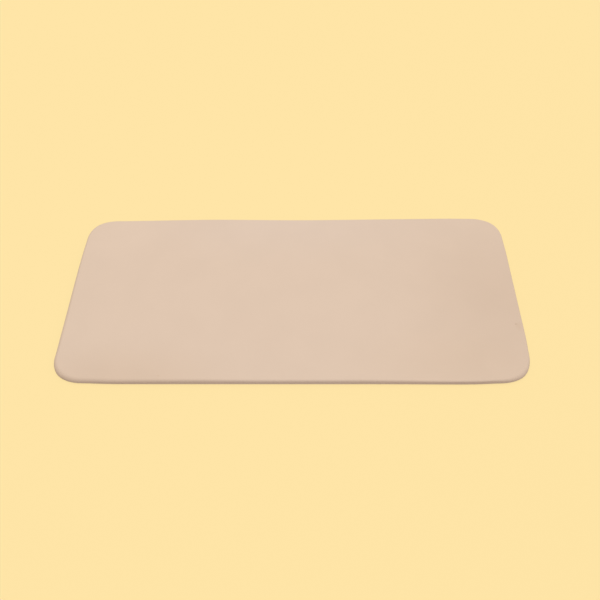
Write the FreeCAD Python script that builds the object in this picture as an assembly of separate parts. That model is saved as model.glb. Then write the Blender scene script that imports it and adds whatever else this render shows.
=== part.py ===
"""Flat wet palette, closed: a cover pushed over a shallow tray with a wet foam and a paint membrane.

The cover and the tray are each a thin panel bonded to a moulded frame.

Millimetres, +Z up. X runs along the palette, Y across it, and the origin lies on the table under its centre.
Every piece is cut from the same rounded plan, drawn in by its own inset, and stacked from the table upwards.
"""

import FreeCAD, Part

import math
import os

# Plan of the closed palette
PALETTE_LENGTH = 300.0
PALETTE_WIDTH = 150.0
PLAN_CORNER_RADIUS = 20.5

# Layers, from the table to the top of the cover
FOOT_STAND = 0.4
TRAY_BASE = 0.7
FOAM_THICKNESS = 1.1
MEMBRANE_THICKNESS = 0.15
PAINT_ROOM = 1.1
COVER_PANEL = 0.65

# Cover: a panel and a frame that share one rounded shoulder, and a skirt that hides the tray
COVER_WALL = 1.2
SKIRT_FLANGE = 0.25
SHOULDER_RADIUS = 1.7
LEAST_INNER_ROUND = 0.3
SKIRT_GROUND_GAP = 0.45
SKIRT_LIP_RADIUS = 0.45

# Seal: a soft ring held in a channel under the frame's flange, standing on the tray's rim
SEAL_WIDTH = 1.2
SEAL_STAND_OUT = 0.35
SEAL_BEAD_RADIUS = 0.35
CHANNEL_DEPTH = 0.35
CHANNEL_RIB = 0.6

# Tray: a thin base with a rim frame bonded on it, flat on top for a margin on each side of the seal
NEST_CLEARANCE = 0.35
SEAL_MARGIN = 0.1
RIM_OUTER_RADIUS = 0.5
RIM_INNER_CHAMFER = 0.2
BASE_LOWER_CHAMFER = 0.35

# Foam and membrane: die-cut, the foam to the basin inside the rim and the membrane a margin smaller
FOAM_CLEARANCE = 0.3
MEMBRANE_MARGIN = 1.0

# Feet: round pads set in pockets under the corners of the base
FOOT_DIAMETER = 12.0
FOOT_POCKET_DEPTH = 0.3
FOOT_POCKET_CLEARANCE = 0.1
FOOT_SETBACK = 17.0
FOOT_CHAMFER = 0.15

# Heights that follow from the layers
TRAY_UNDERSIDE = FOOT_STAND
BASIN_FLOOR = TRAY_UNDERSIDE + TRAY_BASE
FOAM_TOP = BASIN_FLOOR + FOAM_THICKNESS
MEMBRANE_TOP = FOAM_TOP + MEMBRANE_THICKNESS
PANEL_UNDERSIDE = MEMBRANE_TOP + PAINT_ROOM
CHANNEL_ROOF = PANEL_UNDERSIDE - SKIRT_FLANGE
CHANNEL_MOUTH = CHANNEL_ROOF - CHANNEL_DEPTH
RIM_TOP = CHANNEL_MOUTH - SEAL_STAND_OUT
COVER_TOP = PANEL_UNDERSIDE + COVER_PANEL

# Insets of each piece from the palette's plan
TRAY_INSET = COVER_WALL + NEST_CLEARANCE
SEAL_OUTER_INSET = max(SHOULDER_RADIUS, TRAY_INSET + RIM_OUTER_RADIUS) + SEAL_MARGIN
SEAL_INNER_INSET = SEAL_OUTER_INSET + SEAL_WIDTH
BASIN_INSET = SEAL_INNER_INSET + SEAL_MARGIN + RIM_INNER_CHAMFER
FLANGE_INSET = SEAL_INNER_INSET + CHANNEL_RIB
FOAM_INSET = BASIN_INSET + FOAM_CLEARANCE
MEMBRANE_INSET = FOAM_INSET + MEMBRANE_MARGIN

# The most of a wall that a rounding may take up
ROUND_SHARE = 0.9

# Overshoot of a cutting tool past the face that it opens, and how close two places count as one
CUT_OVERSHOOT = 1.0
SAME_PLACE = 1e-6


def plan_wire(inset, height):
    """The palette's plan, drawn in by an inset, as a closed wire of sides and corner arcs."""
    half_x = PALETTE_LENGTH / 2 - inset
    half_y = PALETTE_WIDTH / 2 - inset
    radius = PLAN_CORNER_RADIUS - inset
    corners = []
    for sign_x, sign_y, turn in ((1, 1, 0), (-1, 1, 90), (-1, -1, 180), (1, -1, 270)):
        centre = FreeCAD.Vector(sign_x * (half_x - radius), sign_y * (half_y - radius), height)
        corners.append([
            centre + FreeCAD.Vector(math.cos(angle), math.sin(angle), 0) * radius
            for angle in (math.radians(turn), math.radians(turn + 45), math.radians(turn + 90))
        ])
    edges = []
    for corner, following in zip(corners, corners[1:] + corners[:1]):
        edges.append(Part.Arc(*corner).toShape())
        edges.append(Part.LineSegment(corner[-1], following[0]).toShape())
    return Part.Wire(edges)


def plan_slab(inset, low, high):
    """A slab of the palette's plan between two heights."""
    face = Part.Face(plan_wire(inset, low))
    return face.extrude(FreeCAD.Vector(0, 0, high - low))


def plan_ring(outer_inset, inner_inset, low, high):
    """A ring of the palette's plan between two insets and two heights."""
    inner = plan_slab(inner_inset, low - CUT_OVERSHOOT, high + CUT_OVERSHOOT)
    return plan_slab(outer_inset, low, high).cut(inner)


def level_edges(shape, height, inset=None):
    """The shape's level edges at a height: all of them, or those on the plan drawn in by one inset."""
    found = []
    for edge in shape.Edges:
        level = max(abs(edge.BoundBox.ZMin - height), abs(edge.BoundBox.ZMax - height)) < SAME_PLACE
        if level and (inset is None or on_plan(edge, inset, height)):
            found.append(edge)
    return found


def on_plan(edge, inset, height):
    """Whether an edge lies on the palette's plan drawn in by an inset."""
    return plan_wire(inset, height).distToShape(edge.Vertexes[0])[0] < SAME_PLACE


def seal_ring():
    """The space that the seal takes up, from the rim to the roof of its channel."""
    return plan_ring(SEAL_OUTER_INSET, SEAL_INNER_INSET, RIM_TOP, CHANNEL_ROOF)


def cover_block():
    """The cover's outer form: a slab with a rounded shoulder and a rounded lip."""
    block = plan_slab(0.0, SKIRT_GROUND_GAP, COVER_TOP)
    block = block.makeFillet(SHOULDER_RADIUS, level_edges(block, COVER_TOP))
    return block.makeFillet(SKIRT_LIP_RADIUS, level_edges(block, SKIRT_GROUND_GAP))


def make_cover():
    """Top panel, flat underneath, with the upper part of the rounded shoulder."""
    return cover_block().cut(plan_slab(-CUT_OVERSHOOT, SKIRT_GROUND_GAP - CUT_OVERSHOOT, PANEL_UNDERSIDE))


def make_cover_skirt():
    """Frame under the panel's edge: skirt, flange that the panel is bonded on, and channel for the seal."""
    frame = cover_block().cut(plan_slab(-CUT_OVERSHOOT, PANEL_UNDERSIDE, COVER_TOP + CUT_OVERSHOOT))
    hollow = plan_slab(COVER_WALL, SKIRT_GROUND_GAP - CUT_OVERSHOOT, CHANNEL_ROOF)
    inner_round = max(SHOULDER_RADIUS - COVER_WALL, LEAST_INNER_ROUND)
    frame = frame.cut(hollow.makeFillet(inner_round, level_edges(hollow, CHANNEL_ROOF)))
    ribs = plan_ring(SEAL_OUTER_INSET - CHANNEL_RIB, FLANGE_INSET, CHANNEL_MOUTH, PANEL_UNDERSIDE)
    window = plan_slab(FLANGE_INSET, SKIRT_GROUND_GAP, PANEL_UNDERSIDE + CUT_OVERSHOOT)
    return frame.fuse(ribs).cut(window).cut(seal_ring()).removeSplitter()


def make_cover_seal():
    """Ring that fills the cover's channel and stands on the rim with a rounded foot."""
    ring = seal_ring()
    bead = min(SEAL_BEAD_RADIUS, ROUND_SHARE * SEAL_WIDTH / 2)
    return ring.makeFillet(bead, level_edges(ring, RIM_TOP))


def make_paint_membrane():
    """Thin sheet, cut a margin smaller than the foam that it lies on."""
    return plan_slab(MEMBRANE_INSET, FOAM_TOP, MEMBRANE_TOP)


def make_hydration_foam():
    """Die-cut foam that fills the basin, lower than the rim."""
    return plan_slab(FOAM_INSET, BASIN_FLOOR, FOAM_TOP)


def foot_places():
    """Corner name and centre of each foot."""
    reach_x = PALETTE_LENGTH / 2 - TRAY_INSET - FOOT_SETBACK
    reach_y = PALETTE_WIDTH / 2 - TRAY_INSET - FOOT_SETBACK
    return {
        f"{row}_{side}": FreeCAD.Vector(sign_x * reach_x, sign_y * reach_y, 0)
        for row, sign_y in (("front", -1), ("rear", 1))
        for side, sign_x in (("left", -1), ("right", 1))
    }


def make_tray_rim():
    """Frame round the basin that carries the seal, rounded outside and eased inside."""
    rim = plan_ring(TRAY_INSET, BASIN_INSET, BASIN_FLOOR, RIM_TOP)
    rim = rim.makeFillet(RIM_OUTER_RADIUS, level_edges(rim, RIM_TOP, TRAY_INSET))
    return rim.makeChamfer(RIM_INNER_CHAMFER, level_edges(rim, RIM_TOP, BASIN_INSET))


def make_tray_base():
    """Thin plate with a pocket for each foot in its underside."""
    base = plan_slab(TRAY_INSET, TRAY_UNDERSIDE, BASIN_FLOOR)
    base = base.makeChamfer(BASE_LOWER_CHAMFER, level_edges(base, TRAY_UNDERSIDE))
    pocket_radius = FOOT_DIAMETER / 2 + FOOT_POCKET_CLEARANCE
    for place in foot_places().values():
        mouth = place + FreeCAD.Vector(0, 0, TRAY_UNDERSIDE - CUT_OVERSHOOT)
        base = base.cut(Part.makeCylinder(pocket_radius, CUT_OVERSHOOT + FOOT_POCKET_DEPTH, mouth))
    return base


def make_foot(place):
    """Round pad from the table up to the roof of its pocket."""
    foot = Part.makeCylinder(FOOT_DIAMETER / 2, FOOT_STAND + FOOT_POCKET_DEPTH, place)
    return foot.makeChamfer(FOOT_CHAMFER, level_edges(foot, 0.0))


def make_pieces():
    """Every piece of the palette by its name."""
    pieces = {
        "cover": make_cover(),
        "cover_skirt": make_cover_skirt(),
        "cover_seal": make_cover_seal(),
        "paint_membrane": make_paint_membrane(),
        "hydration_foam": make_hydration_foam(),
        "tray_rim": make_tray_rim(),
        "tray_base": make_tray_base(),
    }
    for corner, place in foot_places().items():
        pieces[f"foot_{corner}"] = make_foot(place)
    return pieces


def main():
    os.makedirs("parts", exist_ok=True)
    for name, shape in make_pieces().items():
        print(name, "valid" if shape.isValid() else "INVALID", len(shape.Solids), round(shape.Volume, 1))
        shape.exportStep(f"parts/{name}.step")


main()
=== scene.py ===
"""Looks of the flat wet palette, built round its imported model.

Metres, +Z up, with the origin on the table under the palette's centre.
X runs along the palette and Y across it, away from the viewer.
"""

import math
from typing import NamedTuple

import bmesh
import bpy
from mathutils import Matrix, Vector, noise


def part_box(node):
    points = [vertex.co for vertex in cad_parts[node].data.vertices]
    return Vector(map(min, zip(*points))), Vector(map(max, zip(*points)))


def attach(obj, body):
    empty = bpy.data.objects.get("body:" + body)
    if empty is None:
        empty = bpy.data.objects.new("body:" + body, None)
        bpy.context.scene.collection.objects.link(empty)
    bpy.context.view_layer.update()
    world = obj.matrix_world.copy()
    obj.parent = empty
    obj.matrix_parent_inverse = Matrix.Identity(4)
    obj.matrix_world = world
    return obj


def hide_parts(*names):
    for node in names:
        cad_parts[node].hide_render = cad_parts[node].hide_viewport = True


MM = 0.001

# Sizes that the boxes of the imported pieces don't give
PLAN_CORNER = 20.5 * MM
COVER_WALL = 1.2 * MM
SHOULDER_RADIUS = 1.7 * MM
INNER_ROUND = 0.5 * MM
LIP_RADIUS = 0.45 * MM
CHANNEL_DEPTH = 0.35 * MM
CHANNEL_RIB = 0.6 * MM
SEAL_WIDTH = 1.2 * MM
EDGE_BREAK = 0.06 * MM

# Division of the modelled meshes
COVER_STEP = 4.0 * MM
FOAM_STEP = 2.5 * MM
MEMBRANE_STEP = 3.0 * MM
CORNER_STEPS = 18
SHOULDER_STEPS = 12
ROUND_STEPS = 5
MERGE_DISTANCE = 0.001 * MM
SHARP_ANGLE = math.radians(32)

# Insets of the loops between a piece's edge and its core, as shares of the corner radius
RING_SHARES = (0.18, 0.27, 0.39, 0.54, 0.7, 0.86, 1.0)

# Moulding waves of the cover's outer skin in mm: place, reach, and push along X, Y and Z
COVER_WAVES = (
    ((-115, 75), 20, (0.0, -0.06, -0.20)),
    ((-59, 75), 30, (0.0, 0.26, 0.30)),
    ((12, 75), 36, (0.0, -0.26, -0.28)),
    ((117, 75), 28, (0.0, 0.10, 0.22)),
    ((-58, -75), 28, (0.0, 0.0, 0.38)),
    ((8, -75), 16, (0.0, 0.0, 0.10)),
    ((42, -75), 16, (0.0, 0.0, 0.22)),
    ((104, -75), 30, (0.0, -0.24, -0.38)),
    ((142, -70), 16, (0.0, 0.0, -0.22)),
    ((-150, 10), 45, (-0.30, 0.0, 0.0)),
    ((150, 0), 70, (-0.20, 0.0, 0.0)),
    ((-144, 69), 12, (-0.22, 0.28, 0.0)),
    ((-149, -61), 12, (-0.55, -0.10, 0.0)),
    ((-128, -75), 14, (0.0, 0.26, 0.0)),
    ((131, -75), 12, (0.0, 0.30, 0.0)),
)

# Waves round the rear right corner, which every corner repeats: fuller in the middle and eased at its ends
CORNER_WAVES = (
    ((144, 69), 8, (0.26, 0.26, 0.0)),
    ((131, 75), 12, (0.0, -0.40, 0.0)),
    ((150, 55), 10, (-0.45, 0.0, 0.0)),
)

# Changes of the cover's shoulder: place and reach in mm, and share of its radius
SHOULDER_CHANGES = (
    ((-150, -45), 70, 0.35),
    ((-150, -25), 35, 0.38),
    ((-144, -69), 12, 0.42),
    ((-10, -75), 60, -0.10),
    ((150, -60), 85, -0.46),
    ((150, 30), 45, -0.20),
    ((144, -69), 14, 1.10),
)

# Foam: share of its thickness that each soft edge takes, lumps of its top, and unevenness of its cut edge,
# which is finer up and down than along the edge
FOAM_EDGE_SHARE = 0.35
FOAM_LUMP_SIZE = 9 * MM
FOAM_LUMP_DEPTH = 0.05 * MM
FOAM_CUT_SIZE = 3 * MM
FOAM_CUT_DEPTH = 0.15 * MM
FOAM_CUT_FINENESS = 4
FOAM_CUT_NOISE_PLACE = (7.0, 3.0, 1.0)

# Membrane: broad cockles with ripples on them, the ripples from another layer of the noise
COCKLE_SIZE = 46 * MM
COCKLE_HEIGHT = 0.28 * MM
RIPPLE_SIZE = 19 * MM
RIPPLE_HEIGHT = 0.12 * MM
RIPPLE_NOISE_LAYER = 9 * MM

# Noise of the materials: the span of most of its values, and its levels of detail
NOISE_SPAN = (0.3, 0.7)
PLAIN_DETAIL = 2.0
CLOUD_DETAIL = 3.0
FELT_DETAIL = 4.0

# Look of the cover; tints are linear colour, and levels are shares of a tint
COVER_TINT = (0.736, 0.563, 0.434)
COVER_MOTTLE_SIZE = 26 * MM
COVER_MOTTLE_LEVELS = (0.992, 1.008)
COVER_SHEEN_SIZE = 7 * MM
COVER_ROUGHNESS = (0.58, 0.68)
COVER_SPECULAR = 0.25
COVER_GRAIN_SIZE = 0.35 * MM
COVER_GRAIN_DEPTH = 0.012 * MM

# Painted shade and painted light in soft patches across the cover, then small darker marks: place and half
# size in mm, turn in degrees, share of the tint
COVER_PAINTED_LIGHT_AND_MARKS = (
    # Painted shade over the right end and towards the front corners, painted light along the rear and at the
    # rear left
    ((138, -5), (80, 90), 0, (0.951, 0.938, 0.924)),
    ((105, -62), (90, 42), 0, (0.985, 0.975, 0.955)),
    ((-105, -74), (85, 36), 0, (0.955, 0.938, 0.915)),
    ((-126, 62), (50, 46), 0, (1.025, 1.027, 1.03)),
    ((0, 78), (150, 62), 0, (1.006, 1.022, 1.05)),
    # A smudge and a dot at the right edge, a darker patch at the front left corner, and a faint dot near the
    # front
    ((146.6, -30.8), (3.4, 5.6), 0, (0.968, 0.953, 0.935)),
    ((145.2, -29.0), (1.2, 1.2), 0, (0.86, 0.84, 0.82)),
    ((-141.3, -71.2), (2.2, 1.2), -35, (0.95, 0.94, 0.93)),
    ((-81.5, -71.2), (1.2, 0.9), 0, (0.97, 0.95, 0.91)),
)

# Look of the tray; a scratch has a length, a width, a turn in degrees and the span of noise that shows it
TRAY_TINT = (0.66, 0.50, 0.37)
TRAY_CLOUD_SIZE = 18 * MM
TRAY_CLOUD_LEVELS = (0.985, 1.015)
TRAY_SCRATCHES = (
    (22 * MM, 0.22 * MM, 24, (0.66, 0.74)),
    (16 * MM, 0.20 * MM, -58, (0.68, 0.76)),
)
TRAY_SCRATCH_LEVEL = 1.12
TRAY_SCRATCH_SHARE = 0.35
TRAY_ROUGHNESS = (0.62, 0.40)
TRAY_SPECULAR = 0.4
TRAY_GRAIN_SIZE = 0.5 * MM
TRAY_GRAIN_DEPTH = 0.010 * MM

# Look of the seal
SEAL_TINT = (0.72, 0.68, 0.62)
SEAL_CLOUD_SIZE = 5 * MM
SEAL_CLOUD_LEVELS = (0.96, 1.04)
SEAL_DUST_SIZE = 0.6 * MM
SEAL_DUST_SPAN = (0.68, 0.78)
SEAL_DUST_LEVEL = 0.7
SEAL_DUST_SHARE = 0.5
SEAL_ROUGHNESS = (0.32, 0.48)
SEAL_SPECULAR = 0.45
SEAL_GRAIN_SIZE = 0.8 * MM
SEAL_GRAIN_DEPTH = 0.012 * MM

# Look of the foam: small cells and larger pores with painted shade in their hollows, and wet clouds
FOAM_TINT = (0.80, 0.66, 0.36)
# Darker tint in the middle of the cells and pores: painted shade in the sponge's hollows
FOAM_PORE_SHADE_TINT = (0.58, 0.44, 0.20)
FOAM_WET_TINT = (0.86, 0.83, 0.77)
FOAM_CELL_SIZE = 0.9 * MM
FOAM_CELL_SPAN = (0.16, 0.46)
FOAM_PORE_SIZE = 3.2 * MM
FOAM_PORE_SPAN = (0.14, 0.30)
FOAM_PORE_DEPTH = 0.22 * MM
FOAM_WET_SIZE = 34 * MM
FOAM_WET_SPAN = (0.38, 0.62)
FOAM_WET_SHARE = 0.5
FOAM_ROUGHNESS = (0.85, 0.62)
FOAM_SPECULAR = 0.25

# Look of the membrane; fibres have a length, a width and a turn in degrees
MEMBRANE_TINT = (0.84, 0.83, 0.78)
MEMBRANE_DAMP_TINT = (0.78, 0.77, 0.71)
MEMBRANE_FELT_TINT = (0.94, 0.935, 0.92)
MEMBRANE_FIBRES = (
    (5.0 * MM, 0.28 * MM, 31),
    (4.0 * MM, 0.24 * MM, -47),
)
MEMBRANE_FIBRE_DEPTH = 0.05 * MM
MEMBRANE_CLOUD_SIZE = 8 * MM
MEMBRANE_FELT_SPAN = (0.7, 1.4)
MEMBRANE_DAMP_SIZE = 42 * MM
MEMBRANE_DAMP_SPAN = (0.42, 0.60)
MEMBRANE_ROUGHNESS = (0.80, 0.60)
MEMBRANE_SPECULAR = 0.22

# Look of the feet
FOOT_TINT = (0.11, 0.10, 0.095)
FOOT_SPECK_SIZE = 0.7 * MM
FOOT_SPECK_LEVELS = (0.85, 1.25)
FOOT_RING_PITCH = 0.9 * MM
FOOT_RING_DEPTH = 0.08 * MM
FOOT_ROUGHNESS = (0.72, 0.9)
FOOT_SPECULAR = 0.35

# Camera, from the photograph's outline in a frame of 600 by 600 pixels
FRAME_PIXELS = 600
SENSOR_WIDTH = 36.0
FOCAL_PIXELS = 827.0
CAMERA_ELEVATION = 46.485
CAMERA_AZIMUTH = 2.302
CAMERA_ROLL = -1.829
CAMERA_DISTANCE = 0.5610
AIM_PIXEL_X = 292.05
AIM_PIXEL_Y = 296.55
CLIP_START = 0.01

# Light: a sky brighter on the right, a soft key overhead and the floor's bounce, about level 1 on the cover
KEY_PLACE = (-0.038, 0.058, 0.80)
KEY_SIZE = 0.55
KEY_POWER = 7.40
KEY_TINT = (0.29, 0.31, 0.35)
SKY_LEFT_TINT = (0.55, 0.51, 0.42)
SKY_RIGHT_TINT = (0.87, 0.87, 0.88)
BACKDROP_TINT = (1.0, 0.783, 0.386)
FLOOR_BOUNCE_TINT = (0.49, 0.455, 0.495)
FLOOR_SHADE_SHARE = 0.16
FLOOR_SHADE_REACH = 0.55
FLOOR_HALF_SIZE = 6.0
FLOOR_DROP = 0.02 * MM


class Plan(NamedTuple):
    """A rounded rectangle, and the spacing of points along its straight sides."""

    half_x: float
    half_y: float
    corner: float
    step: float


def plan_of(name, corner, step):
    """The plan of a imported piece."""
    low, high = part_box(name)
    return Plan((high.x - low.x) / 2, (high.y - low.y) / 2, corner, step)


def side_places(half, step):
    """Evenly spaced places along a side, from its positive to its negative end."""
    count = max(1, round(2 * half / step))
    return [half - 2 * half * i / count for i in range(count + 1)]


class Ray(NamedTuple):
    """A place on the edge of a plan's core, and the way from it to the plan's edge."""

    start: Vector
    outward: Vector


def plan_rays(plan):
    """Rays round the plan, anticlockwise."""
    core_x = plan.half_x - plan.corner
    core_y = plan.half_y - plan.corner
    along_x = side_places(core_x, plan.step)[1:-1]
    along_y = side_places(core_y, plan.step)[1:-1]
    quarters = (
        (core_x, core_y, [(x, core_y) for x in along_x]),
        (-core_x, core_y, [(-core_x, y) for y in along_y]),
        (-core_x, -core_y, [(-x, -core_y) for x in along_x]),
        (core_x, -core_y, [(core_x, -y) for y in along_y]),
    )
    rays = []
    for quarter, (x, y, side) in enumerate(quarters):
        for i in range(CORNER_STEPS + 1):
            angle = math.pi / 2 * (quarter + i / CORNER_STEPS)
            rays.append(Ray(Vector((x, y)), Vector((math.cos(angle), math.sin(angle)))))
        rays.extend(Ray(Vector(start), rays[-1].outward) for start in side)
    return rays


def place_on(plan, ray, inset, height):
    """The point on a ray that lies an inset inside the plan's edge."""
    return (ray.start + ray.outward * (plan.corner - inset)).to_3d() + Vector((0, 0, height))


def add_core(mesh, plan, height, share, shape):
    """Faces across the plan's core, which the loop meets that is drawn in by the corner radius."""
    across = side_places(plan.half_x - plan.corner, plan.step)
    rows = []
    for y in side_places(plan.half_y - plan.corner, plan.step):
        rays = [Ray(Vector((x, y)), Vector((0, 0))) for x in across]
        rows.append([mesh.verts.new(shape(plan, ray, plan.corner, height, share)) for ray in rays])
    for row, following in zip(rows, rows[1:]):
        for corners in zip(row, row[1:], following[1:], following):
            mesh.faces.new(corners)


def sweep(name, plan, profile, shape, ring=False):
    """A closed piece round the plan.

    The profile function gives a ray's points as (inset, height, share), with as many on every ray.
    The shape function gives the place of such a point, moved by the share.
    A ring's profile closes on itself. Any other profile starts and ends at the plan's core, at the same
    height and share on every ray.
    """
    mesh = bmesh.new()
    rays = plan_rays(plan)
    profiles = [profile(ray) for ray in rays]
    columns = [
        [mesh.verts.new(shape(plan, ray, *point)) for point in points]
        for ray, points in zip(rays, profiles)
    ]
    if ring:
        columns = [column + column[:1] for column in columns]
    for column, following in zip(columns, columns[1:] + columns[:1]):
        for corners in zip(column, following, following[1:], column[1:]):
            mesh.faces.new(corners)
    if not ring:
        for _, height, share in (profiles[0][0], profiles[0][-1]):
            add_core(mesh, plan, height, share, shape)
    bmesh.ops.remove_doubles(mesh, verts=mesh.verts, dist=MERGE_DISTANCE)
    bmesh.ops.recalc_face_normals(mesh, faces=mesh.faces)
    data = bpy.data.meshes.new(name)
    mesh.to_mesh(data)
    mesh.free()
    data.shade_smooth()
    data.set_sharp_from_angle(angle=SHARP_ANGLE)
    piece = bpy.data.objects.new(name, data)
    bpy.context.scene.collection.objects.link(piece)
    return piece


def arc(inset, height, radius, start, end, steps):
    """Path points on an arc round a centre; 0 degrees faces outwards and 90 degrees up."""
    angles = [math.radians(start + (end - start) * i / steps) for i in range(steps + 1)]
    return [(inset - radius * math.cos(a), height + radius * math.sin(a)) for a in angles]


def with_share(path, share):
    """Profile points from the insets and heights of a path, all with one share."""
    return [(inset, height, share) for inset, height in path]


def inwards(corner, height, share):
    """Profile points from near a piece's edge to its core."""
    return [(corner * ring, height, share) for ring in RING_SHARES]


def nearness(point, place, reach):
    """1 at a place on the plan, in mm, and almost 0 at twice its reach."""
    away = (point.xy - Vector(place) * MM).length / (reach * MM)
    return math.exp(-away * away)


def cover_shape():
    """Shape function of the cover: waves push its outer skin, and up or down the more the higher it is."""
    low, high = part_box("cover_skirt")[0].z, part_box("cover")[1].z
    waves = list(COVER_WAVES)
    for sign_x, sign_y in ((1, 1), (-1, 1), (-1, -1), (1, -1)):
        for (x, y), reach, (push_x, push_y, push_z) in CORNER_WAVES:
            waves.append(((sign_x * x, sign_y * y), reach, (sign_x * push_x, sign_y * push_y, push_z)))

    def shape(plan, ray, inset, height, share):
        point = place_on(plan, ray, inset, height)
        rise = (height - low) / (high - low)
        moved = point.copy()
        for place, reach, (push_x, push_y, push_z) in waves:
            push = Vector((push_x, push_y, push_z * rise))
            moved += push * (share * nearness(point, place, reach) * MM)
        return moved

    return shape


def shoulder_radius(plan, ray):
    """Radius of the cover's shoulder where a ray meets the plan's edge."""
    edge = place_on(plan, ray, 0.0, 0.0)
    changes = (change * nearness(edge, place, reach) for place, reach, change in SHOULDER_CHANGES)
    return SHOULDER_RADIUS * (1 + sum(changes))


def seam_turn(radius, panel):
    """Turn of a shoulder, in degrees, at the seam that lies a panel's thickness under its top."""
    return math.degrees(math.asin(1 - panel / radius))


def make_cover_panel():
    """Top panel with the upper part of the shoulder, down to the seam with the frame."""
    low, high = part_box("cover")
    plan = plan_of("cover_skirt", PLAN_CORNER, COVER_STEP)
    top = inwards(PLAN_CORNER, high.z, 1.0)[::-1]
    underside = inwards(PLAN_CORNER, low.z, 0.0)

    def profile(ray):
        radius = shoulder_radius(plan, ray)
        seam = seam_turn(radius, high.z - low.z)
        shoulder = arc(radius, high.z - radius, radius, 90, seam, SHOULDER_STEPS)
        return top + with_share(shoulder, 1.0) + underside

    return sweep("cover_top_panel", plan, profile, cover_shape())


def make_cover_frame():
    """Frame under the panel: lower part of the shoulder, skirt, and flange with the channel of the seal."""
    low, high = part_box("cover_skirt")
    seal_low, seal_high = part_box("cover_seal")
    roof = seal_high.z
    mouth = roof - CHANNEL_DEPTH
    channel_outer = seal_low.x - low.x
    channel_inner = channel_outer + SEAL_WIDTH
    flange_edge = channel_inner + CHANNEL_RIB
    rib_edge = channel_outer - CHANNEL_RIB
    round_centre = COVER_WALL + INNER_ROUND
    round_turn = math.degrees(math.acos((round_centre - rib_edge) / INNER_ROUND))
    inside = [(COVER_WALL - EDGE_BREAK, low.z), (COVER_WALL, low.z + EDGE_BREAK)]
    inside += arc(round_centre, roof - INNER_ROUND, INNER_ROUND, 0, round_turn, ROUND_STEPS)
    inside += [(rib_edge, mouth + EDGE_BREAK), (rib_edge + EDGE_BREAK, mouth)]
    inside += [(channel_outer - EDGE_BREAK, mouth), (channel_outer, mouth + EDGE_BREAK)]
    inside += [(channel_outer, roof), (channel_inner, roof)]
    inside += [(channel_inner, mouth + EDGE_BREAK), (channel_inner + EDGE_BREAK, mouth)]
    inside += [(flange_edge - EDGE_BREAK, mouth), (flange_edge, mouth + EDGE_BREAK)]
    inside += [(flange_edge, high.z)]
    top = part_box("cover")[1].z
    lip = arc(LIP_RADIUS, low.z + LIP_RADIUS, LIP_RADIUS, 0, -90, ROUND_STEPS)
    plan = plan_of("cover_skirt", PLAN_CORNER, COVER_STEP)

    def profile(ray):
        radius = shoulder_radius(plan, ray)
        seam = seam_turn(radius, top - high.z)
        shoulder = arc(radius, top - radius, radius, seam, 0, SHOULDER_STEPS)
        return with_share(shoulder + lip, 1.0) + with_share(inside, 0.0)

    return sweep("cover_skirt_frame", plan, profile, cover_shape(), ring=True)


def foam_shape(plan, ray, inset, height, share):
    """Slightly uneven top and cut edge of the sponge, inside the room of its solid."""
    point = place_on(plan, ray, inset, height)
    lumps = noise.noise(Vector((point.x, point.y, 0.0)) / FOAM_LUMP_SIZE)
    cut_place = Vector((point.x, point.y, point.z * FOAM_CUT_FINENESS)) / FOAM_CUT_SIZE
    cut = noise.noise(cut_place + Vector(FOAM_CUT_NOISE_PLACE))
    point.z -= share * FOAM_LUMP_DEPTH * (1 + lumps) / 2
    point.xy -= ray.outward * (FOAM_CUT_DEPTH * (1 + cut) / 2 * (1 - inset / plan.corner))
    return point


def make_foam():
    """Die-cut sponge with soft edges."""
    low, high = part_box("hydration_foam")
    corner = PLAN_CORNER - (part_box("cover_skirt")[1].x - high.x)
    soft = FOAM_EDGE_SHARE * (high.z - low.z)
    profile = inwards(corner, high.z, 1.0)[::-1]
    profile += with_share(arc(soft, high.z - soft, soft, 90, 0, ROUND_STEPS), 1.0)
    profile += with_share(arc(soft, low.z + soft, soft, 0, -90, ROUND_STEPS), 0.0)
    profile += inwards(corner, low.z, 0.0)
    plan = plan_of("hydration_foam", corner, FOAM_STEP)
    return sweep("damp_foam", plan, lambda ray: profile, foam_shape)


def membrane_shape(plan, ray, inset, height, share):
    """Damp sheet that cockles up from the sponge here and there, and lies on it elsewhere."""
    point = place_on(plan, ray, inset, height)
    cockle = noise.noise(Vector((point.x, point.y, 0.0)) / COCKLE_SIZE)
    ripple = noise.noise(Vector((point.x, point.y, RIPPLE_NOISE_LAYER)) / RIPPLE_SIZE)
    point.z += share * max(0.0, COCKLE_HEIGHT * cockle + RIPPLE_HEIGHT * ripple)
    return point


def make_membrane():
    """Thin sheet, a margin smaller than the sponge, and its plan."""
    low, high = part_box("paint_membrane")
    corner = PLAN_CORNER - (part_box("cover_skirt")[1].x - high.x)
    profile = inwards(corner, high.z, 1.0)[::-1]
    profile += [(EDGE_BREAK, high.z, 1.0), (0.0, (low.z + high.z) / 2, 1.0), (EDGE_BREAK, low.z, 1.0)]
    profile += inwards(corner, low.z, 1.0)
    plan = plan_of("paint_membrane", corner, MEMBRANE_STEP)
    return sweep("damp_membrane", plan, lambda ray: profile, membrane_shape), plan


def node(tree, kind, inputs=None, **settings):
    """A new shader node with its settings and inputs; an input that is a socket is linked."""
    made = tree.nodes.new(kind)
    for name, value in settings.items():
        setattr(made, name, value)
    for name, value in (inputs or {}).items():
        if isinstance(value, bpy.types.NodeSocket):
            tree.links.new(value, made.inputs[name])
        else:
            made.inputs[name].default_value = value
    return made


def rgba(tint, level=1.0):
    """A tint at a level, as a colour socket takes it."""
    return (*(level * part for part in tint), 1.0)


def new_material(name):
    """An empty material: itself, its node tree and its output node."""
    material = bpy.data.materials.new(name)
    material.use_nodes = True
    material.node_tree.nodes.clear()
    return material, material.node_tree, material.node_tree.nodes.new("ShaderNodeOutputMaterial")


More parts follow.
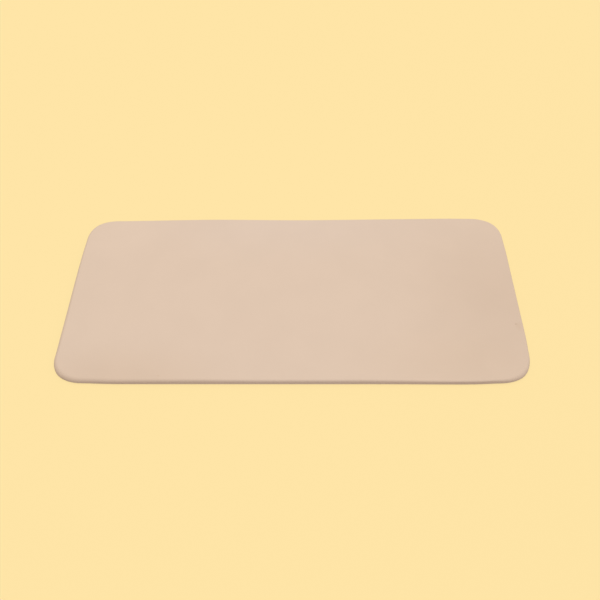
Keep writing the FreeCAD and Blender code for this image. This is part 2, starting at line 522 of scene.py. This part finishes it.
def surface(name, inputs):
    """A material; a function of its node tree and the place on the piece gives the shader's inputs."""
    material, tree, output = new_material(name)
    place = node(tree, "ShaderNodeTexCoord").outputs["Object"]
    shader = node(tree, "ShaderNodeBsdfPrincipled", inputs(tree, place))
    tree.links.new(shader.outputs["BSDF"], output.inputs["Surface"])
    return material


def grain(tree, place, size, detail=PLAIN_DETAIL):
    """Noise whose features are about a size across."""
    inputs = {"Vector": place, "Scale": 1 / size, "Detail": detail}
    return node(tree, "ShaderNodeTexNoise", inputs).outputs["Fac"]


def streaks(tree, place, length, width, turn):
    """Noise drawn out along a direction on the plan."""
    drawn = node(
        tree,
        "ShaderNodeMapping",
        {"Vector": place, "Rotation": (0, 0, math.radians(turn)), "Scale": (length, width, width)},
        vector_type="TEXTURE",
    )
    return node(tree, "ShaderNodeTexNoise", {"Vector": drawn.outputs["Vector"], "Scale": 1.0}).outputs["Fac"]


def cells(tree, place, size):
    """Distance from the middle of the nearest cell, for cells about a size across."""
    return node(tree, "ShaderNodeTexVoronoi", {"Vector": place, "Scale": 1 / size}).outputs["Distance"]


def remap(tree, value, span, onto=(0.0, 1.0)):
    """A value in a span turned smoothly into one in another."""
    ranged = node(
        tree,
        "ShaderNodeMapRange",
        {"Value": value, "From Min": span[0], "From Max": span[1], "To Min": onto[0], "To Max": onto[1]},
        interpolation_type="SMOOTHSTEP",
    )
    return ranged.outputs["Result"]


def maths(tree, operation, first, second=0.0, third=0.0):
    """Result of an operation on up to three numbers."""
    return node(tree, "ShaderNodeMath", {0: first, 1: second, 2: third}, operation=operation).outputs["Value"]


def length(tree, vector):
    """Length of a vector."""
    return node(tree, "ShaderNodeVectorMath", {0: vector}, operation="LENGTH").outputs["Value"]


def blend(tree, factor, first, second, blend_type="MIX"):
    """Two colours mixed by a factor."""
    mixed = node(
        tree,
        "ShaderNodeMix",
        {"Factor": factor, "A": first, "B": second},
        data_type="RGBA",
        blend_type=blend_type,
    )
    return mixed.outputs["Result"]


def shades(tree, factor, tint, levels):
    """A tint between two of its levels."""
    return blend(tree, factor, rgba(tint, levels[0]), rgba(tint, levels[1]))


def relief(tree, height, depth):
    """Normal of a surface whose height between 0 and 1 stands for a depth."""
    inputs = {"Height": height, "Distance": depth, "Strength": 1.0}
    return node(tree, "ShaderNodeBump", inputs).outputs["Normal"]


def spot(tree, place, centre, half, turn):
    """1 in the middle of an ellipse on the plan, in mm, fading to 0 at its edge."""
    local = node(
        tree,
        "ShaderNodeMapping",
        {
            "Vector": place,
            "Location": (centre[0] * MM, centre[1] * MM, 0),
            "Rotation": (0, 0, math.radians(turn)),
            "Scale": (half[0] * MM, half[1] * MM, 1),
        },
        vector_type="TEXTURE",
    )
    return remap(tree, length(tree, local.outputs["Vector"]), (0.0, 1.0), (1.0, 0.0))


def cover_inputs(tree, place):
    """Matt moulded plastic with a very fine grain, a faint mottling, painted shade and painted light in soft
    patches, and small darker marks.
    """
    mottle = remap(tree, grain(tree, place, COVER_MOTTLE_SIZE, CLOUD_DETAIL), NOISE_SPAN)
    tint = shades(tree, mottle, COVER_TINT, COVER_MOTTLE_LEVELS)
    # Soft patches of painted shade and painted light, then the small marks
    for centre, half, turn, share in COVER_PAINTED_LIGHT_AND_MARKS:
        tint = blend(tree, spot(tree, place, centre, half, turn), tint, rgba(share), "MULTIPLY")
    return {
        "Base Color": tint,
        "Roughness": remap(tree, grain(tree, place, COVER_SHEEN_SIZE), NOISE_SPAN, COVER_ROUGHNESS),
        "Specular IOR Level": COVER_SPECULAR,
        "Normal": relief(tree, grain(tree, place, COVER_GRAIN_SIZE), COVER_GRAIN_DEPTH),
    }


def tray_inputs(tree, place):
    """Satin moulded plastic, a shade deeper than the cover, with faint scratches of cleaning."""
    cloud = remap(tree, grain(tree, place, TRAY_CLOUD_SIZE, CLOUD_DETAIL), NOISE_SPAN)
    scratches = maths(tree, "MAXIMUM", *(
        remap(tree, streaks(tree, place, long, wide, turn), span) for long, wide, turn, span in TRAY_SCRATCHES
    ))
    scratched = maths(tree, "MULTIPLY", scratches, TRAY_SCRATCH_SHARE)
    tint = shades(tree, cloud, TRAY_TINT, TRAY_CLOUD_LEVELS)
    return {
        "Base Color": blend(tree, scratched, tint, rgba(TRAY_TINT, TRAY_SCRATCH_LEVEL)),
        "Roughness": remap(tree, maths(tree, "SUBTRACT", cloud, scratches), (-1.0, 1.0), TRAY_ROUGHNESS),
        "Specular IOR Level": TRAY_SPECULAR,
        "Normal": relief(tree, grain(tree, place, TRAY_GRAIN_SIZE), TRAY_GRAIN_DEPTH),
    }


def seal_inputs(tree, place):
    """Milky silicone, satin, with a little dust."""
    dust = remap(tree, grain(tree, place, SEAL_DUST_SIZE), SEAL_DUST_SPAN, (0.0, SEAL_DUST_SHARE))
    cloud = grain(tree, place, SEAL_CLOUD_SIZE)
    tint = shades(tree, cloud, SEAL_TINT, SEAL_CLOUD_LEVELS)
    return {
        "Base Color": blend(tree, dust, tint, rgba(SEAL_TINT, SEAL_DUST_LEVEL)),
        "Roughness": remap(tree, cloud, NOISE_SPAN, SEAL_ROUGHNESS),
        "Specular IOR Level": SEAL_SPECULAR,
        "Normal": relief(tree, grain(tree, place, SEAL_GRAIN_SIZE), SEAL_GRAIN_DEPTH),
    }


def foam_inputs(tree, place):
    """Fine-celled damp sponge: many small cells and a few larger pores, with painted shade in their hollows,
    and darker wet clouds.
    """
    walls = remap(tree, cells(tree, place, FOAM_CELL_SIZE), FOAM_CELL_SPAN)
    rims = remap(tree, cells(tree, place, FOAM_PORE_SIZE), FOAM_PORE_SPAN)
    solid = maths(tree, "MINIMUM", walls, rims)
    wet = remap(tree, grain(tree, place, FOAM_WET_SIZE, CLOUD_DETAIL), FOAM_WET_SPAN)
    soaked = maths(tree, "MULTIPLY", wet, FOAM_WET_SHARE)
    # The middles of the cells and pores take the tint of painted shade
    tint = blend(tree, solid, rgba(FOAM_PORE_SHADE_TINT), rgba(FOAM_TINT))
    return {
        "Base Color": blend(tree, soaked, tint, rgba(FOAM_WET_TINT), "MULTIPLY"),
        "Roughness": remap(tree, wet, (0.0, 1.0), FOAM_ROUGHNESS),
        "Specular IOR Level": FOAM_SPECULAR,
        "Normal": relief(tree, solid, FOAM_PORE_DEPTH),
    }


def membrane_inputs(tree, place):
    """Off-white fibre sheet: felted fibres, cloudy thickness, and patches that the water darkens."""
    fibres = maths(tree, "MAXIMUM", *(streaks(tree, place, *fibre) for fibre in MEMBRANE_FIBRES))
    cloud = grain(tree, place, MEMBRANE_CLOUD_SIZE, FELT_DETAIL)
    damp = remap(tree, grain(tree, place, MEMBRANE_DAMP_SIZE, CLOUD_DETAIL), MEMBRANE_DAMP_SPAN)
    tint = blend(tree, damp, rgba(MEMBRANE_TINT), rgba(MEMBRANE_DAMP_TINT))
    felt = remap(tree, maths(tree, "ADD", fibres, cloud), MEMBRANE_FELT_SPAN)
    return {
        "Base Color": blend(tree, felt, tint, rgba(MEMBRANE_FELT_TINT), "MULTIPLY"),
        "Roughness": remap(tree, damp, (0.0, 1.0), MEMBRANE_ROUGHNESS),
        "Specular IOR Level": MEMBRANE_SPECULAR,
        "Normal": relief(tree, fibres, MEMBRANE_FIBRE_DEPTH),
    }


def foot_inputs(tree, place):
    """Dark non-slip rubber with fine rings moulded round the middle of each foot."""
    low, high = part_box("foot_rear_right")
    mirrored = node(tree, "ShaderNodeVectorMath", {0: place}, operation="ABSOLUTE").outputs["Vector"]
    local = node(tree, "ShaderNodeVectorMath", {0: mirrored, 1: (low + high) / 2}, operation="SUBTRACT")
    turns = maths(tree, "MULTIPLY", length(tree, local.outputs["Vector"]), 2 * math.pi / FOOT_RING_PITCH)
    rings = remap(tree, maths(tree, "SINE", turns), (-1.0, 1.0))
    speck = grain(tree, place, FOOT_SPECK_SIZE)
    return {
        "Base Color": shades(tree, speck, FOOT_TINT, FOOT_SPECK_LEVELS),
        "Roughness": remap(tree, speck, NOISE_SPAN, FOOT_ROUGHNESS),
        "Specular IOR Level": FOOT_SPECULAR,
        "Normal": relief(tree, rings, FOOT_RING_DEPTH),
    }


def seen_ray(tree):
    """1 for rays that show the backdrop itself: from the camera, a reflection or a see-through surface."""
    path = node(tree, "ShaderNodeLightPath").outputs
    passed = maths(tree, "MAXIMUM", path["Is Glossy Ray"], path["Is Transmission Ray"])
    return maths(tree, "MAXIMUM", path["Is Camera Ray"], passed)


def either(tree, factor, first, second):
    """One of two shaders, or a mix of them."""
    return node(tree, "ShaderNodeMixShader", {"Fac": factor, 1: first, 2: second}).outputs["Shader"]


def floor_material():
    """Floor that shows the backdrop's tint with a faint shadow, and lights the palette with a pale bounce."""
    material, tree, output = new_material("floor")
    place = node(tree, "ShaderNodeTexCoord").outputs["Object"]
    share = remap(tree, length(tree, place), (0.0, FLOOR_SHADE_REACH), (FLOOR_SHADE_SHARE, 0.0))
    glow = node(tree, "ShaderNodeEmission", {"Color": rgba(BACKDROP_TINT), "Strength": 1.0})
    shaded = node(tree, "ShaderNodeBsdfDiffuse", {"Color": rgba(BACKDROP_TINT)})
    bounce = node(tree, "ShaderNodeBsdfDiffuse", {"Color": rgba(FLOOR_BOUNCE_TINT)})
    shown = either(tree, share, glow.outputs["Emission"], shaded.outputs["BSDF"])
    both = either(tree, seen_ray(tree), bounce.outputs["BSDF"], shown)
    tree.links.new(both, output.inputs["Surface"])
    material.cycles.emission_sampling = "NONE"
    return material


def make_floor():
    """Wide level floor just under the feet."""
    signs = ((-1, -1), (1, -1), (1, 1), (-1, 1))
    corners = [(x * FLOOR_HALF_SIZE, y * FLOOR_HALF_SIZE, -FLOOR_DROP) for x, y in signs]
    mesh = bpy.data.meshes.new("floor")
    mesh.from_pydata(corners, [], [(0, 1, 2, 3)])
    mesh.materials.append(floor_material())
    floor = bpy.data.objects.new("floor", mesh)
    bpy.context.scene.collection.objects.link(floor)


def make_sky():
    """Sky that lights the palette, more from the right, and shows the backdrop's tint where it is seen."""
    world = bpy.data.worlds.new("sky")
    world.use_nodes = True
    tree = world.node_tree
    tree.nodes.clear()
    direction = node(tree, "ShaderNodeTexCoord").outputs["Generated"]
    sideways = node(tree, "ShaderNodeSeparateXYZ", {"Vector": direction}).outputs["X"]
    # From 0 for light from the left to 1 for light from the right
    rightness = maths(tree, "MULTIPLY_ADD", sideways, 0.5, 0.5)
    tint = blend(tree, rightness, rgba(SKY_LEFT_TINT), rgba(SKY_RIGHT_TINT))
    light = node(tree, "ShaderNodeBackground", {"Color": tint, "Strength": 1.0})
    backdrop = node(tree, "ShaderNodeBackground", {"Color": rgba(BACKDROP_TINT), "Strength": 1.0})
    both = either(tree, seen_ray(tree), light.outputs["Background"], backdrop.outputs["Background"])
    tree.links.new(both, node(tree, "ShaderNodeOutputWorld").inputs["Surface"])
    bpy.context.scene.world = world


def make_key():
    """Soft square lamp overhead, facing straight down."""
    data = bpy.data.lights.new("key", "AREA")
    data.shape = "SQUARE"
    data.size = KEY_SIZE
    data.energy = KEY_POWER
    data.color = KEY_TINT
    key = bpy.data.objects.new("key", data)
    key.location = KEY_PLACE
    bpy.context.scene.collection.objects.link(key)


def make_camera():
    """Camera at the photograph's viewing angle, aimed at the origin, with a small shift for its framing."""
    elevation, azimuth, roll = (math.radians(a) for a in (CAMERA_ELEVATION, CAMERA_AZIMUTH, CAMERA_ROLL))
    back = Vector((
        math.sin(azimuth) * math.cos(elevation),
        -math.cos(azimuth) * math.cos(elevation),
        math.sin(elevation),
    ))
    level = Vector((math.cos(azimuth), math.sin(azimuth), 0))
    upright = back.cross(level)
    right = math.cos(roll) * level + math.sin(roll) * upright
    up = math.cos(roll) * upright - math.sin(roll) * level
    data = bpy.data.cameras.new("camera")
    data.sensor_width = SENSOR_WIDTH
    data.lens = FOCAL_PIXELS / FRAME_PIXELS * SENSOR_WIDTH
    data.shift_x = 0.5 - AIM_PIXEL_X / FRAME_PIXELS
    data.shift_y = AIM_PIXEL_Y / FRAME_PIXELS - 0.5
    data.clip_start = CLIP_START
    camera = bpy.data.objects.new("camera", data)
    turned = Matrix((right, up, back)).transposed().to_4x4()
    camera.matrix_world = Matrix.Translation(back * CAMERA_DISTANCE) @ turned
    bpy.context.scene.collection.objects.link(camera)
    bpy.context.scene.camera = camera


def dress(piece, body, stands_for, material):
    """Lets a modelled piece stand for a packed one, and gives it its material."""
    piece.data.materials.append(material)
    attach(piece, body)
    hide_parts(stands_for)


def make_palette(packed):
    """Modelled pieces for the cover, the foam and the membrane, and materials for the pieces that stay."""
    cover = surface("cover_plastic", cover_inputs)
    dress(make_cover_panel(), "cover", "cover", cover)
    dress(make_cover_frame(), "cover", "cover_skirt", cover)
    foam = make_foam()
    dress(foam, "foam", "hydration_foam", surface("foam_sponge", foam_inputs))
    membrane, plan = make_membrane()
    sheet = surface("membrane_sheet", membrane_inputs)
    dress(membrane, "membrane", "paint_membrane", sheet)
    tray = surface("tray_plastic", tray_inputs)
    foot = surface("foot_rubber", foot_inputs)
    kept = {"tray_rim": tray, "tray_base": tray, "cover_seal": surface("seal_rubber", seal_inputs)}
    kept.update({name: foot for name in packed if name.startswith("foot_")})
    for name, material in kept.items():
        packed[name].data.materials.clear()
        packed[name].data.materials.append(material)


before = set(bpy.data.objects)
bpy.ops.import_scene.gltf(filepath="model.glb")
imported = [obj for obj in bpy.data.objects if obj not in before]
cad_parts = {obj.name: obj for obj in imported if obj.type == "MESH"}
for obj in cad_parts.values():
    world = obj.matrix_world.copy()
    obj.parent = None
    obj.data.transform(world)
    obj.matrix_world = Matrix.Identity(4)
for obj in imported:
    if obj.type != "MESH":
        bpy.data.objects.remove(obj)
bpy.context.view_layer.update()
make_camera()
make_floor()
make_sky()
make_key()
make_palette(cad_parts)
bpy.context.scene.view_settings.view_transform = "Standard"
